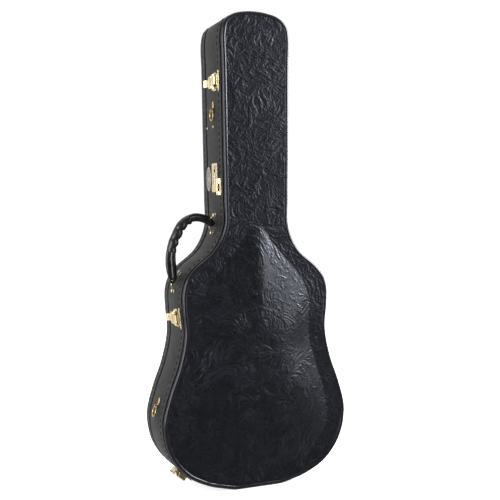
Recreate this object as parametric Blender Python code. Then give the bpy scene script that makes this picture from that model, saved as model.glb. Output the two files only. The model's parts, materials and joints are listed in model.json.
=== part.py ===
"""Hard-shell guitar case for a dreadnought guitar, standing on its bottom edge.

Frame: metres, +Z along the neck, -Y towards the lid, +X towards the hinged side. The origin is on the
bottom edge, at the middle of the case's width and of its side walls' depth.
The wall carrying the latches and the handle is the one on the -X side.
"""

import math

import bmesh
import bpy
from mathutils import Matrix, Vector

MM = 0.001

# Driving dimensions, in millimetres ------------------------------------------------------------------
FRONT_Y = -72.0  # front edge of the side walls, where the lid's rolled edge ends
SEAM_Y = -33.0  # parting plane between lid and base
BACK_Y = 71.5  # flat back of the case
SEAM_GAP = 0.15  # each shell keeps this distance to the parting plane
FIT_GAP = 0.3  # gap between pieces that touch
WALL = 5.0  # bent plywood side wall with its covering
PANEL = 4.0  # front and back panels
ARCH = 26.0  # rise of the lid's arch over its flat margin
GROOVE_DEPTH = 1.8

# Right half of the outline seen from the front, bottom centre to top centre: (half width, height)
HALF_OUTLINE = [
    (0, 0), (54, 0), (88, 7), (123, 17), (174, 45), (214, 98), (227, 164), (212, 229), (189, 292),
    (175.5, 360), (179.5, 415), (180, 455), (171, 485), (151, 509.5), (104, 550), (80, 601), (79, 669),
    (81, 811), (83, 972), (84, 1037), (77, 1064), (55, 1081), (21, 1089), (0, 1090),
]
# Right half of the edge of the arch on the lid's body
HALF_ARCH = [
    (0, 46), (60, 49), (118, 65), (160, 99), (178, 150), (172, 205), (148, 280), (130, 345), (132, 410),
    (128, 450), (108, 488), (70, 530), (35, 570), (17, 597), (0, 607),
]
CHORD_ERROR = 1.05  # how far a straight piece of an outline may lie from the true curve
LENGTH_STEP = 170.0  # longest straight piece of an outline
ARCH_RINGS = (1.0, 0.92, 0.8, 0.62, 0.36)  # sizes of the arch's level curves
INNER_ARCH_RINGS = (1.0, 0.8, 0.45)
ARCH_CENTRE_Z = 290.0
ARCH_SLOPE = 0.8  # share of the way from the arch's edge to its centre over which it rises

# Places along the handle side, measured along the wall from the top centre
LATCH_AT = {"neck": 217.0, "waist": 789.0, "lower": 1165.0}
LOCK_AT = 435.0
STRAP_RING_AT = {"upper": 268.0, "lower": 985.0}
RIVETS_AT = 317.0
RIVET_Y = {"front": -5.0, "rear": 33.0}
HANDLE_POST_AT = {"upper": (520.0, 562.0), "lower": (688.0, 730.0)}
HANDLE_Y = -6.0
HANDLE_LOOP_HEIGHT = 11.5
BADGE_DEPTH = 61.0  # badge centre behind the parting plane

# Latch: local x up along the wall, y back from the parting plane, z out of the wall
LEVER_PIVOT = (9.0, 5.2)
HOOK_PIVOT = (14.0, 8.6)

# Combination lock, in the same kind of frame
DIAL_X = (4.6, -3.7, -12.0)
DIAL_Y = 18.0
DIAL_Z = -1.7
DIAL_R = 5.8
HASP_AXIS = (-1.4, 4.5)

# Strap rings: local x and z of the pivot, half sizes of the oval, wire radius, place behind the seam
RING_PIVOT = (-12.5, 5.2)
RING_RADII = (11.6, 10.0)
RING_WIRE = 1.35
RING_DEPTH = 23.0

# Centre line of the handle's grip in the plane y = HANDLE_Y: (x, z, radius)
GRIP_LINE = [
    (-98.5, 613.4, 4.2), (-107.0, 619.0, 8.2), (-121, 623.0, 9.6), (-135, 621.5, 10.0),
    (-149, 614.5, 10.6), (-162, 601.5, 11.4), (-172.5, 584.5, 11.8), (-180.5, 564.5, 11.8),
    (-186.0, 544.0, 11.8), (-189.4, 524.0, 11.4), (-191.2, 507.0, 9.4), (-191.2, 494.0, 6.6),
    (-188.8, 484.0, 4.2),
]

# Hinges: heights of the three hinges, and the axis outside the walls that it touches
HINGE_Z = (178.0, 458.0, 1047.0)
HINGE_STANDOFF = 4.3
KNUCKLE_R = 2.9
HINGE_BORE_R = 1.55
HINGE_PIN_R = 1.25

# Accessory compartment inside the neck
COMPARTMENT = {"half_width": 55.0, "bottom": 632.0, "top": 688.0, "front": 4.0}

COLOURS = {
    "crumpled leatherette": ((0.012, 0.012, 0.014), 0.42, 0.0),
    "side leatherette": ((0.030, 0.030, 0.031), 0.50, 0.0),
    "binding": ((0.016, 0.016, 0.017), 0.40, 0.0),
    "gold plate": ((0.86, 0.72, 0.36), 0.22, 1.0),
    "antique gold": ((0.80, 0.55, 0.22), 0.28, 1.0),
    "badge metal": ((0.62, 0.58, 0.48), 0.35, 1.0),
    "handle leather": ((0.015, 0.015, 0.016), 0.38, 0.0),
    "plush": ((0.055, 0.012, 0.018), 0.95, 0.0),
    "dial": ((0.85, 0.83, 0.78), 0.40, 0.0),
    "steel": ((0.55, 0.54, 0.52), 0.30, 1.0),
}


# Small tools ------------------------------------------------------------------------------------------
def clear_scene():
    for old in list(bpy.data.objects):
        bpy.data.objects.remove(old, do_unlink=True)


def finish_material(name):
    """The Principled material of one finish, made the first time that it is asked for."""
    if name in bpy.data.materials:
        return bpy.data.materials[name]
    colour, roughness, metallic = COLOURS[name]
    material = bpy.data.materials.new(name)
    material.use_nodes = True
    shader = material.node_tree.nodes["Principled BSDF"]
    shader.inputs["Base Color"].default_value = (*colour, 1.0)
    shader.inputs["Roughness"].default_value = roughness
    shader.inputs["Metallic"].default_value = metallic
    return material


def solid(name, points, faces, finish, frame=None, smooth=False):
    """A closed mesh object from points in millimetres, in the given local frame."""
    mesh = bpy.data.meshes.new(name)
    mesh.from_pydata([Vector(p) * MM for p in points], [], faces)
    work = bmesh.new()
    work.from_mesh(mesh)
    bmesh.ops.recalc_face_normals(work, faces=work.faces)
    work.to_mesh(mesh)
    work.free()
    if smooth:
        mesh.shade_smooth()
        mesh.set_sharp_from_angle(angle=math.radians(35))
    piece = bpy.data.objects.new(name, mesh)
    piece.data.materials.append(finish_material(finish))
    bpy.context.scene.collection.objects.link(piece)
    if frame is not None:
        piece.matrix_world = frame
    return piece


def shifted(frame, x, y, z):
    """The same frame with its origin moved by local millimetres."""
    return frame @ Matrix.Translation(Vector((x, y, z)) * MM)


def prism(outline, low, high, along="z"):
    """Points and faces of a straight extrusion of a closed outline.

    along="z" reads the outline as (x, y); along="x" reads it as (y, z); along="y" as (z, x).
    """
    place = {
        "z": lambda u, v, w: (u, v, w),
        "x": lambda u, v, w: (w, u, v),
        "y": lambda u, v, w: (v, w, u),
    }[along]
    count = len(outline)
    points = [place(u, v, w) for w in (low, high) for u, v in outline]
    sides = [(i, (i + 1) % count, count + (i + 1) % count, count + i) for i in range(count)]
    return points, sides + [tuple(range(count)), tuple(range(count, 2 * count))]


def box(low, high):
    (x0, y0, z0), (x1, y1, z1) = low, high
    return prism([(x0, y0), (x1, y0), (x1, y1), (x0, y1)], z0, z1)


def circle(radius, count, centre=(0.0, 0.0), start=0.0):
    angles = [start + 2 * math.pi * i / count for i in range(count)]
    return [(centre[0] + radius * math.cos(a), centre[1] + radius * math.sin(a)) for a in angles]


def oval(half_x, half_y, count, centre=(0.0, 0.0)):
    return [(centre[0] + half_x * u, centre[1] + half_y * v) for u, v in circle(1.0, count)]


def turned(profile, count):
    """Points and faces of a solid of revolution about z. The profile starts and ends on the axis."""
    rings = profile[1:-1]
    points = [(0, 0, profile[0][1])]
    for radius, height in rings:
        points += [(x, y, height) for x, y in circle(radius, count)]
    points.append((0, 0, profile[-1][1]))
    last = len(points) - 1
    faces = []
    for i in range(count):
        j = (i + 1) % count
        faces.append((0, 1 + j, 1 + i))
        for k in range(len(rings) - 1):
            a, b = 1 + k * count, 1 + (k + 1) * count
            faces.append((a + i, a + j, b + j, b + i))
        end = 1 + (len(rings) - 1) * count
        faces.append((end + i, end + j, last))
    return points, faces


def combine(target, shape, operation, frame=None):
    """Joins a shape to the target object, or cuts it away, with a Boolean modifier."""
    number = len(target.modifiers) + 1
    tool = solid(f"{target.name}_tool_{number}", *shape, "steel", frame or target.matrix_world.copy())
    tool.hide_render = True
    tool.display_type = "WIRE"
    modifier = target.modifiers.new(f"{operation.lower()}_{number}", "BOOLEAN")
    modifier.operation = operation
    modifier.object = tool
    return target


def wire(name, points, radius, finish, frame=None, cyclic=False, sizes=None):
    """A round wire or tube through points in millimetres, with filled ends."""
    curve = bpy.data.curves.new(name, "CURVE")
    curve.dimensions = "3D"
    curve.bevel_depth = radius * MM
    curve.bevel_resolution = 2
    curve.use_fill_caps = True
    spline = curve.splines.new("POLY")
    spline.points.add(len(points) - 1)
    for i, point in enumerate(points):
        spline.points[i].co = (*(Vector(point) * MM), 1.0)
        spline.points[i].radius = sizes[i] / radius if sizes else 1.0
    spline.use_cyclic_u = cyclic
    piece = bpy.data.objects.new(name, curve)
    curve.materials.append(finish_material(finish))
    bpy.context.scene.collection.objects.link(piece)
    if frame is not None:
        piece.matrix_world = frame
    return piece


# Outlines ---------------------------------------------------------------------------------------------
def smooth_curve(points, parts=16):
    """Points of a centripetal Catmull-Rom curve through 2-D points whose ends lie on the axis x = 0."""
    nodes = [Vector(p) for p in points]
    nodes = [Vector((-nodes[1].x, nodes[1].y))] + nodes + [Vector((-nodes[-2].x, nodes[-2].y))]
    curve = []
    for a, b, c, d in zip(nodes, nodes[1:], nodes[2:], nodes[3:]):
        t1 = math.sqrt((b - a).length)
        t2 = t1 + math.sqrt((c - b).length)
        t3 = t2 + math.sqrt((d - c).length)
        for k in range(parts):
            t = t1 + (t2 - t1) * k / parts
            p = a.lerp(b, t / t1)
            q = b.lerp(c, (t - t1) / (t2 - t1))
            r = c.lerp(d, (t - t2) / (t3 - t2))
            curve.append(p.lerp(q, t / t2).lerp(q.lerp(r, (t - t1) / (t3 - t1)), (t - t1) / (t2 - t1)))
    curve.append(nodes[-2])
    return [Vector((p.x, max(p.y, points[0][1]))) for p in curve]


def outline_samples(points):
    """Corners of a symmetric closed outline, anticlockwise from the front, with outward normals.

    The corners lie closer together where the outline turns. The first straight piece is the one across
    the bottom.
    """
    curve = smooth_curve(points)
    cost = [0.0]
    for i in range(1, len(curve)):
        step = curve[i] - curve[i - 1]
        turn = step.angle(curve[i + 1] - curve[i], 0.0) if i + 1 < len(curve) else 0.0
        pieces = math.sqrt(step.length * turn / (8.0 * CHORD_ERROR))
        cost.append(cost[-1] + pieces + step.length / LENGTH_STEP)
    count = math.ceil(cost[-1])
    half = []
    for k in range(count):
        wanted = (k + 0.5) * cost[-1] / count
        i = next(j for j in range(1, len(cost)) if cost[j] >= wanted)
        share = (wanted - cost[i - 1]) / (cost[i] - cost[i - 1])
        place = curve[i - 1].lerp(curve[i], share)
        tangent = (curve[i] - curve[i - 1]).normalized()
        half.append((place, Vector((tangent.y, -tangent.x))))
    mirrored = [(Vector((-p.x, p.y)), Vector((-n.x, n.y))) for p, n in reversed(half)]
    return half + mirrored


CASE_OUTLINE = outline_samples(HALF_OUTLINE)
ARCH_OUTLINE = outline_samples(HALF_ARCH)


def case_ring(inset, y):
    """The case's outline moved inward by inset, in the plane y."""
    return [(p.x - n.x * inset, y, p.y - n.y * inset) for p, n in CASE_OUTLINE]


def band(name, section, finish):
    """A closed band around the case: its section is a loop of (inset, y)."""
    rings = [case_ring(inset, y) for inset, y in section]
    count = len(CASE_OUTLINE)
    points = [p for ring in rings for p in ring]
    faces = []
    for k in range(len(rings)):
        a, b = k * count, ((k + 1) % len(rings)) * count
        faces += [(a + i, a + (i + 1) % count, b + (i + 1) % count, b + i) for i in range(count)]
    return solid(name, points, faces, finish, smooth=True)


def plate(name, section, finish):
    """A plate of the case's outline: its section runs (inset, y) from one face's rim to the other's."""
    rings = [case_ring(inset, y) for inset, y in section]
    count = len(CASE_OUTLINE)
    points = [p for ring in rings for p in ring]
    faces = [tuple(range(count)), tuple(range(len(points) - count, len(points)))]
    for k in range(len(rings) - 1):
        a, b = k * count, (k + 1) * count
        faces += [(a + i, a + (i + 1) % count, b + (i + 1) % count, b + i) for i in range(count)]
    return solid(name, points, faces, finish)


def arch_rise(size):
    """Height of the arch on its level curve of this size, from 0 at the edge to 1 on top."""
    return math.sin(0.5 * math.pi * min(1.0, (1.0 - size) / ARCH_SLOPE))


def arched_face(work, rim, y, rise, shrink, sizes):
    """Closes the rim with a flat margin at y and an arch that rises towards -y."""
    loops = []
    for size in sizes:
        ring = []
        for p, n in ARCH_OUTLINE:
            x = (p.x - n.x * shrink) * size
            z = ARCH_CENTRE_Z + (p.y - n.y * shrink - ARCH_CENTRE_Z) * size
            ring.append(work.verts.new((x, y - rise * arch_rise(size), z)))
        loops.append(ring)
    count = len(loops[0])
    first = [work.edges.new((loops[0][i], loops[0][(i + 1) % count])) for i in range(count)]
    outer = [work.edges.get((rim[i], rim[(i + 1) % len(rim)])) for i in range(len(rim))]
    bmesh.ops.triangle_fill(work, edges=first + outer, use_beauty=True, normal=(0, -1, 0))
    for a, b in zip(loops, loops[1:]):
        for i in range(count):
            j = (i + 1) % count
            work.faces.new((a[i], a[j], b[j], b[i]))
    top = work.verts.new((0.0, y - rise, ARCH_CENTRE_Z))
    for i in range(count):
        work.faces.new((loops[-1][i], loops[-1][(i + 1) % count], top))


def arched_shell(name, section, finish, front, back):
    """A sheet with the case's outline and the arch in it.

    The section runs (inset, y) from the front face's rim to the back face's rim. Each face is given by
    its arch's rise, how far the arch's edge is moved inward, and the sizes of its level curves.
    """
    work = bmesh.new()
    rings = [[work.verts.new(p) for p in case_ring(inset, y)] for inset, y in section]
    count = len(CASE_OUTLINE)
    for a, b in zip(rings, rings[1:]):
        for i in range(count):
            j = (i + 1) % count
            work.faces.new((a[i], a[j], b[j], b[i]))
    arched_face(work, rings[0], section[0][1], *front)
    arched_face(work, rings[-1], section[-1][1], *back)
    bmesh.ops.recalc_face_normals(work, faces=work.faces)
    bmesh.ops.scale(work, vec=(MM, MM, MM), verts=work.verts)
    mesh = bpy.data.meshes.new(name)
    work.to_mesh(mesh)
    work.free()
    mesh.shade_smooth()
    mesh.set_sharp_from_angle(angle=math.radians(35))
    piece = bpy.data.objects.new(name, mesh)
    mesh.materials.append(finish_material(finish))
    bpy.context.scene.collection.objects.link(piece)
    return piece


def wall_frame(distance, y=SEAM_Y, standoff=FIT_GAP):
    """Frame on the outside of the handle-side wall, this far along it from the top centre.

    Local x runs up along the wall, y to the back and z out of the wall.
    """
    curve = list(reversed(smooth_curve(HALF_OUTLINE)))
    travelled = 0.0
    for a, b in zip(curve, curve[1:]):
        step = (b - a).length
        if travelled + step >= distance:
            break
        travelled += step
    place = a.lerp(b, (distance - travelled) / step)
    down = (b - a).normalized()
    up = Vector((down.x, 0.0, -down.y))
    out = Vector((-up.z, 0.0, up.x))
    origin = Vector((-place.x, y, place.y)) + out * standoff
    return local_frame(origin, up, out)


def local_frame(origin, x_axis, z_axis):
    """Matrix of a frame given in millimetres, with its y axis along +Y."""
    y_axis = z_axis.cross(x_axis)
    turn = Matrix((x_axis, y_axis, z_axis)).transposed().to_4x4()
    return Matrix.Translation(origin * MM) @ turn


# Base shell -------------------------------------------------------------------------------------------
def make_base():
    seam = SEAM_Y + SEAM_GAP
    frame = band(
        "base_frame",
        [(0, seam), (0, 40.2), (GROOVE_DEPTH, 41.8), (GROOVE_DEPTH + 0.1, 67.2), (WALL, 67.2), (WALL, seam)],
        "side leatherette",
    )
    band(
        "back_binding",
        [
            (0, 44.6), (0, BACK_Y - 2.6), (2.6, BACK_Y), (14.0, BACK_Y), (14.0, BACK_Y - 1.6),
            (1.6, BACK_Y - 1.6), (1.6, 44.6),
        ],
        "binding",
    )
    panel_front = BACK_Y - PANEL
    plate(
        "back_panel",
        [(2.0, panel_front), (2.0, BACK_Y - 1.9), (14.4, BACK_Y - 1.9), (14.4, BACK_Y)],
        "crumpled leatherette",
    )
    lip = band(
        "base_lip",
        [(5.6, SEAM_Y - 8.0), (5.6, 56.6), (8.1, 56.6), (8.1, SEAM_Y - 8.0)],
        "plush",
    )
    return frame, lip


def make_interior():
    band("side_padding", [(8.5, -29.0), (8.5, 56.6), (20.0, 56.6), (20.0, -29.0)], "plush")
    plate("floor_padding", [(5.4, 67.1), (5.4, 57.0)], "plush")
    half = COMPARTMENT["half_width"]
    bottom, top = COMPARTMENT["bottom"], COMPARTMENT["top"]
    front, rear = COMPARTMENT["front"], 56.6
    tray = solid("accessory_box", *box((-half, front, bottom), (half, rear, top)), "plush")
    board = 3.0
    hollow = box((-half + board, front - 5, bottom + board), (half - board, rear - board, top - board))
    combine(tray, hollow, "DIFFERENCE")
    flap_frame = Matrix.Translation(Vector((0, front - 1.9, top + 1.0)) * MM)
    flap = solid("accessory_lid", *box((-half, -1.4, bottom - top - 1.0), (half, 1.4, -0.6)), "plush", flap_frame)
    tab = [(9, -4.4), (9, 0), (-9, 0), (-9, -4.4), (-5, -9), (5, -9)]
    tab_frame = Matrix.Translation(Vector((0, front - 1.9, bottom + 12)) * MM)
    pull = solid("accessory_tab", *prism([(z, x) for x, z in tab], -3.2, -1.7, "y"), "binding", tab_frame)
    pull.parent = flap
    pull.matrix_parent_inverse = flap.matrix_world.inverted()
    arms, notch, floor = 57.0, 28.0, -24.0
    profile = [
        (-arms, rear), (arms, rear), (arms, -44), (notch + 4, -44), (notch, -34), (notch - 5, floor - 3),
        (notch - 12, floor), (-notch + 12, floor), (-notch + 5, floor - 3), (-notch, -34),
        (-notch - 4, -44), (-arms, -44),
    ]
    solid("neck_cradle", *prism(profile, 702.0, 742.0), "plush")


# Lid shell --------------------------------------------------------------------------------------------
def make_lid():
    band(
        "lid_frame",
        [
            (0, SEAM_Y - SEAM_GAP), (0, -58.6), (GROOVE_DEPTH, -60.0), (GROOVE_DEPTH, -61.9),
            (WALL, -61.9), (WALL, SEAM_Y - SEAM_GAP),
        ],
        "side leatherette",
    )
    band(
        "lid_piping",
        [
            (11.0, -62.3), (11.0, -69.0), (8.2, -71.6), (4.6, -71.9), (1.2, -69.6), (0, -66.2), (1.6, -62.3),
        ],
        "binding",
    )
    margin = FRONT_Y + 2.0
    arched_shell(
        "lid_panel",
        [(12.6, margin), (11.4, margin + 1.2), (11.4, margin + PANEL)],
        "crumpled leatherette",
        (ARCH, 0.0, ARCH_RINGS),
        (ARCH, 3.0, ARCH_RINGS),
    )
    arched_shell(
        "lid_lining",
        [(12.0, -65.6), (11.6, -61.9), (5.4, -61.9), (5.4, -42.0), (8.4, -42.0), (8.4, -58.0)],
        "plush",
        (ARCH, 3.0, ARCH_RINGS),
        (ARCH - 4.0, 8.0, INNER_ARCH_RINGS),
    )


# Latches ----------------------------------------------------------------------------------------------
def make_latch(place, distance, standoff):
    frame = wall_frame(distance, standoff=standoff)
    keeper_outline = [
        (-24, -14.5), (-20, -17), (20, -17), (24, -14.5), (24, -9.5), (17, -9.5), (17, -2.6), (-17, -2.6),
        (-17, -9.5), (-24, -9.5),
    ]
    keeper = solid(f"latch_keeper_{place}", *prism(keeper_outline, 0, 1.4), "gold plate", frame)
    rib = [(-12.6, 1.0), (-12.2, 3.4), (-11.2, 4.2), (-10.0, 4.2), (-9.2, 3.4), (-9.0, 1.0)]
    combine(keeper, prism(rib, -11, 11, "x"), "UNION")

    plate_outline = [
        (-20.5, 1.6), (20.5, 1.6), (20.5, 16), (17.5, 19), (17.5, 27), (12, 30), (12, 35), (-12, 35),
        (-12, 30), (-17.5, 27), (-17.5, 19), (-20.5, 16),
    ]
    base = solid(f"latch_plate_{place}", *prism(plate_outline, 0, 1.4), "gold plate", frame)
    pivot_y, pivot_z = LEVER_PIVOT
    ear = [(4.0, 1.0), (15.0, 1.0), (14.0, 4.5), (11.8, 8.0), (6.6, 8.0), (4.4, 5.5)]
    for low, high in ((-16.2, -14.2), (14.2, 16.2)):
        combine(base, prism(ear, low, high, "x"), "UNION")
    combine(base, prism(circle(1.9, 12, LEVER_PIVOT), -18, 18, "x"), "DIFFERENCE")

    lever_frame = shifted(frame, 0, pivot_y, pivot_z)
    arm = [
        (-2.3, -0.6), (-1.6, -1.9), (1.0, -2.3), (24.0, -2.4), (25.0, -1.6), (25.0, 1.2), (23.0, 2.6),
        (9.5, 2.6), (8.0, 1.4), (1.0, 1.9), (-1.4, 1.7), (-2.2, 0.8),
    ]
    lever = solid(f"latch_lever_{place}", *prism(arm, -13.7, 13.7, "x"), "gold plate", lever_frame)
    tab = [(24.0, -2.0), (33.6, -2.6), (35.0, -1.8), (34.6, -0.6), (30.0, 0.2), (24.0, 0.6)]
    combine(lever, prism(tab, -8.5, 8.5, "x"), "UNION")
    combine(lever, prism(circle(1.5, 12), -15.8, 15.8, "x"), "UNION")

    hook_y, hook_z = HOOK_PIVOT
    hook_frame = shifted(frame, 0, hook_y, hook_z)
    claw = [
        (-27.0, -3.9), (-26.0, -3.9), (-25.2, -0.8), (-1.0, -0.8), (0.6, -1.0), (1.1, 0.0), (0.4, 0.9),
        (-25.6, 0.9), (-27.3, -0.4),
    ]
    hook = solid(f"latch_hook_{place}", *prism(claw, -9.5, 9.5, "x"), "gold plate", hook_frame)
    hook.parent = lever
    hook.matrix_parent_inverse = lever.matrix_world.inverted()


# Combination lock -------------------------------------------------------------------------------------
def make_lock(base_frame, base_lip):
    frame = wall_frame(LOCK_AT)
    cut = box((-18.6, 7.4, -16), (30.6, 30.6, 6))
    combine(base_frame, cut, "DIFFERENCE", frame)
    combine(base_lip, cut, "DIFFERENCE", frame)

    face = [
        (-31, 1.2), (-28, 1.2), (-28, 19), (-19.5, 19), (-19.5, 1.2), (31, 1.2), (33, 3.2), (33, 33),
        (31, 35), (-31, 35), (-33, 33), (-33, 3.2),
    ]
    body = solid("lock_body", *prism(face, 0, 3.2), "gold plate", frame)
    combine(body, box((-18, 8, -8), (30, 30, 1)), "UNION")
    combine(body, box((-16.5, 9.5, -12), (28.5, 28.5, -0.2)), "DIFFERENCE")
    for x in DIAL_X:
        combine(body, box((x - 2.8, DIAL_Y - 6.4, -3), (x + 2.8, DIAL_Y + 6.4, 5)), "DIFFERENCE")
    combine(body, box((12.0, DIAL_Y - 4.6, -3), (28.0, DIAL_Y + 4.6, 5)), "DIFFERENCE")

    slider_frame = shifted(frame, 23.4, DIAL_Y, 0)
    slider = solid("lock_slider", *box((-4.2, -4.2, -2.4), (4.2, 4.2, 4.8)), "gold plate", slider_frame)
    combine(slider, box((-4.8, -6.4, -4.0), (4.8, 6.4, -1.7)), "UNION")

    axle_frame = shifted(frame, 0, DIAL_Y, DIAL_Z)
    solid("lock_dial_axle", *prism(circle(1.2, 10), -16.1, 10.4, "x"), "steel", axle_frame)
    for i, x in enumerate(DIAL_X):
        dial_frame = shifted(frame, x, DIAL_Y, DIAL_Z)
        dial = solid(f"lock_dial_{i + 1}", *prism(circle(DIAL_R, 20), -2.5, 2.5, "x"), "dial", dial_frame)
        combine(dial, prism(circle(1.5, 10), -4, 4, "x"), "DIFFERENCE")

    plate_outline = [(-40.5, -16), (-38.5, -18), (-4.5, -18), (-2.5, -16), (-2.5, -3.6), (-40.5, -3.6)]
    hasp = solid("hasp_plate", *prism(plate_outline, 0, 1.4), "gold plate", frame)
    for low, high in ((-40.0, -32.6), (-14.4, -3.0)):
        knuckle = circle(1.9, 12, HASP_AXIS)
        web = [(-5.4, 0.4), (-3.0, 0.4), (-1.2, 2.9), (-2.4, 4.6)]
        combine(hasp, prism(web, low, high, "x"), "UNION")
        combine(hasp, prism(knuckle, low, high, "x"), "UNION")

    flap_frame = shifted(frame, 0, *HASP_AXIS)
    leaf = [(-23.5 + x, y) for x, y in ((-8.6, 0), (8.6, 0), (8.6, 29), (5, 32.5), (-5, 32.5), (-8.6, 29))]
    flap = solid("hasp_flap", *prism(leaf, -0.8, 0.9), "gold plate", flap_frame)
    combine(flap, prism(circle(1.9, 12), -32.1, -14.9, "x"), "UNION")
    combine(flap, box((-26.4, 12.2, -3.8), (-21.2, 16.2, 0)), "UNION")
    return frame


# Small hardware on the handle side ---------------------------------------------------------------------
def make_strap_ring(place, distance):
    frame = wall_frame(distance, y=SEAM_Y + RING_DEPTH)
    pivot_x, pivot_z = RING_PIVOT
    plate_piece = solid(
        f"strap_ring_plate_{place}", *prism(oval(9.0, 5.0, 16), 0, 1.4), "antique gold", frame
    )
    stem = [(1.0, -9.4), (1.0, -5.5), (3.6, -9.4), (5.0, -10.0), (5.0, -10.6)]
    combine(plate_piece, prism(stem, -2.4, 2.4, "y"), "UNION")
    eye = circle(3.6, 14, (pivot_z, pivot_x))
    combine(plate_piece, prism(eye, -2.4, 2.4, "y"), "UNION")
    combine(plate_piece, prism(circle(2.15, 12, (pivot_z, pivot_x)), -4, 4, "y"), "DIFFERENCE")
    ring_frame = shifted(frame, pivot_x, 0, pivot_z)
    half_x, half_y = RING_RADII
    loop = [(-half_x + half_x * u, half_y * v, 0) for u, v in circle(1.0, 20)]
    wire(f"strap_ring_{place}", loop, RING_WIRE, "antique gold", ring_frame, cyclic=True)


def make_rivets_and_badge():
    for name, y in RIVET_Y.items():
        head = [(0, 0), (3.2, 0), (3.2, 0.5), (2.2, 1.3), (0, 1.7)]
        solid(f"side_rivet_{name}", *turned(head, 12), "antique gold", wall_frame(RIVETS_AT, y=y))
    frame = wall_frame(LOCK_AT + 1.0, y=SEAM_Y + BADGE_DEPTH)
    solid("badge", *prism(oval(28.5, 14.5, 28), 0, 1.6), "badge metal", frame)


# Handle -----------------------------------------------------------------------------------------------
def handle_frame(place):
    """Frame midway between the two posts of one end: x from post to post, z out of the wall."""
    ends = [wall_frame(t, y=HANDLE_Y, standoff=0.9).translation / MM for t in HANDLE_POST_AT[place]]
    along = (ends[0] - ends[1]).normalized()
    out = Vector((-along.z, 0.0, along.x))
    return local_frame((ends[0] + ends[1]) / 2, along, out), (ends[0] - ends[1]).length / 2


def make_handle():
    eyes = []
    number = 0
    for place in ("upper", "lower"):
        frame, half_span = handle_frame(place)
        for distance in HANDLE_POST_AT[place]:
            number += 1
            post = [(0, 0), (4.2, 0), (4.2, 0.7), (2.6, 1.5), (2.8, 3.0), (3.2, 4.6), (2.6, 6.4), (0, 7.4)]
            post_frame = wall_frame(distance, y=HANDLE_Y, standoff=0.9)
            solid(f"handle_post_{number}", *turned(post, 14), "gold plate", post_frame, smooth=True)
        reach = half_span - 5.6
        top = HANDLE_LOOP_HEIGHT
        half_wire = [(reach, 4.4), (reach - 1.4, 6.0), (reach - 4.0, 9.0), (reach - 8.0, top - 0.5), (6.0, top)]
        route = [(x, 0, z) for x, z in half_wire] + [(-x, 0, z) for x, z in reversed(half_wire)]
        wire(f"handle_loop_{place}", route, 1.4, "gold plate", frame)
        eyes.append(shifted(frame, 0, 0, top))
    upper, lower = (eye.translation for eye in eyes)
    chord = (upper - lower).normalized()
    pivot = (upper + lower) / 2
    sizes = [r for x, z, r in GRIP_LINE]
    line = [Vector((x, HANDLE_Y, z)) - pivot / MM for x, z, r in GRIP_LINE]
    tube = tube_shape(line, sizes, 12)
    grip = solid("handle_grip", *tube, "handle leather", Matrix.Translation(pivot), smooth=True)
    for eye, end in zip(eyes, (line[0], line[-1])):
        centre = eye.translation / MM - pivot / MM
        normal = (eye.to_3x3().col[0] + chord).normalized()
        combine(grip, ring_shape(centre, normal, 6.3, 2.6, 16, 8), "UNION")
    return pivot, chord


def tube_shape(line, sizes, count):
    """Points and faces of a tube of changing radius along a line in one plane of constant y."""
    points = []
    across = Vector((0, 1, 0))
    for i, centre in enumerate(line):
        ahead = line[min(i + 1, len(line) - 1)] - line[max(i - 1, 0)]
        side = ahead.normalized().cross(across)
        points += [centre + (side * u + across * v) * sizes[i] for u, v in circle(1.0, count)]
    faces = [tuple(range(count)), tuple(range(len(points) - count, len(points)))]
    for k in range(len(line) - 1):
        a, b = k * count, (k + 1) * count
        faces += [(a + i, a + (i + 1) % count, b + (i + 1) % count, b + i) for i in range(count)]
    return points, faces


def ring_shape(centre, normal, radius, thickness, around, sides):
    """Points and faces of a torus about the normal."""
    across = Vector((0, 1, 0))
    other = normal.cross(across).normalized()
    points = []
    for u, v in circle(1.0, around):
        out = other * u + across * v
        points += [centre + out * (radius + thickness * a) + normal * thickness * b
                   for a, b in circle(1.0, sides, start=math.pi / sides)]
    faces = []
    for i in range(around):
        for j in range(sides):
            k, m = (i + 1) % around, (j + 1) % sides
            faces.append((i * sides + j, k * sides + j, k * sides + m, i * sides + m))
    return points, faces


# Hinges -----------------------------------------------------------------------------------------------
def hinge_axis():
    """Direction (upward) of the hinge line and its point at z = 0, in millimetres.

    The line touches the outline at the lower bout and at the upper bout, and stands off both.
    """
    curve = smooth_curve(HALF_OUTLINE)
    upper = [p for p in curve if 420 < p.y < 520]
    lower = [p for p in curve if 120 < p.y < 240]
    best = None
    for a in lower:
        for b in upper:
            slope = (b.x - a.x) / (b.y - a.y)
            if all(p.x <= a.x + slope * (p.y - a.y) + 1e-6 for p in lower + upper):
                best = (slope, a)
    slope, touch = best
    direction = Vector((slope, 0.0, 1.0)).normalized()
    outward = Vector((direction.z, 0.0, -direction.x))
    foot = Vector((touch.x - slope * touch.y, SEAM_Y, 0.0)) + outward * HINGE_STANDOFF
    return direction, outward, foot


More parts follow.
